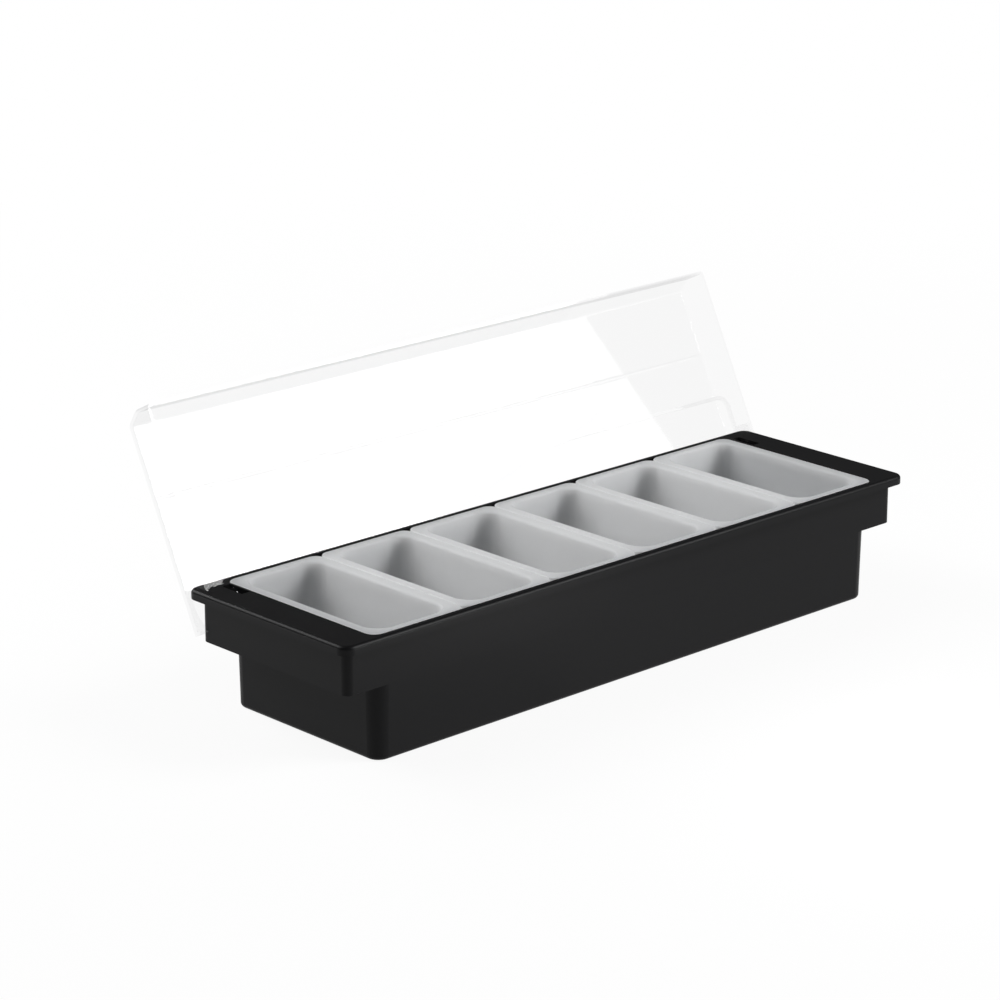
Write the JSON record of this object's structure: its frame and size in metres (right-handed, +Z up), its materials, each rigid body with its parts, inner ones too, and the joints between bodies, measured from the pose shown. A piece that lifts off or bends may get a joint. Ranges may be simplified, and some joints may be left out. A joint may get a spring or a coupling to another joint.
{
  "type": "bar garnish tray",
  "caption": "Counter-top garnish tray: a housing with hollow end grips holds a row of lift-out inserts over ice, under a clear lid that swings up behind them.",
  "frame": {"origin": "middle of the housing's flat underside, on the surface it stands on", "axes": "+X along the row of inserts, +Y to the rear where the hinge is, +Z up"},
  "size_m": [0.5, 0.2073, 0.1906],
  "materials": {
    "black_abs": "satin",
    "clear_polycarbonate": "clear and polished",
    "white_polypropylene": "milky, satin"
  },
  "bodies": {
    "housing": {"housing": "black_abs"},
    "lid": {"lid": "clear_polycarbonate"},
    "insert_1": {"insert_1": "white_polypropylene"},
    "insert_2": {"insert_2": "white_polypropylene"},
    "insert_3": {"insert_3": "white_polypropylene"},
    "insert_4": {"insert_4": "white_polypropylene"},
    "insert_5": {"insert_5": "white_polypropylene"},
    "insert_6": {"insert_6": "white_polypropylene"}
  },
  "joints": [
    {"name": "lid_hinge", "type": "hinge", "parent": "housing", "child": "lid", "pos_m": [0, 0.0535, 0.079], "axis": [-1, 0, 0], "range_deg": [-116.3, 0]},
    {"name": "insert_1_lift", "type": "slide", "parent": "housing", "child": "insert_1", "axis": [0, 0, 1], "range_m": [0, 0.085]},
    {"name": "insert_2_lift", "type": "slide", "parent": "housing", "child": "insert_2", "axis": [0, 0, 1], "range_m": [0, 0.085]},
    {"name": "insert_3_lift", "type": "slide", "parent": "housing", "child": "insert_3", "axis": [0, 0, 1], "range_m": [0, 0.085]},
    {"name": "insert_4_lift", "type": "slide", "parent": "housing", "child": "insert_4", "axis": [0, 0, 1], "range_m": [0, 0.085]},
    {"name": "insert_5_lift", "type": "slide", "parent": "housing", "child": "insert_5", "axis": [0, 0, 1], "range_m": [0, 0.085]},
    {"name": "insert_6_lift", "type": "slide", "parent": "housing", "child": "insert_6", "axis": [0, 0, 1], "range_m": [0, 0.085]}
  ]
}
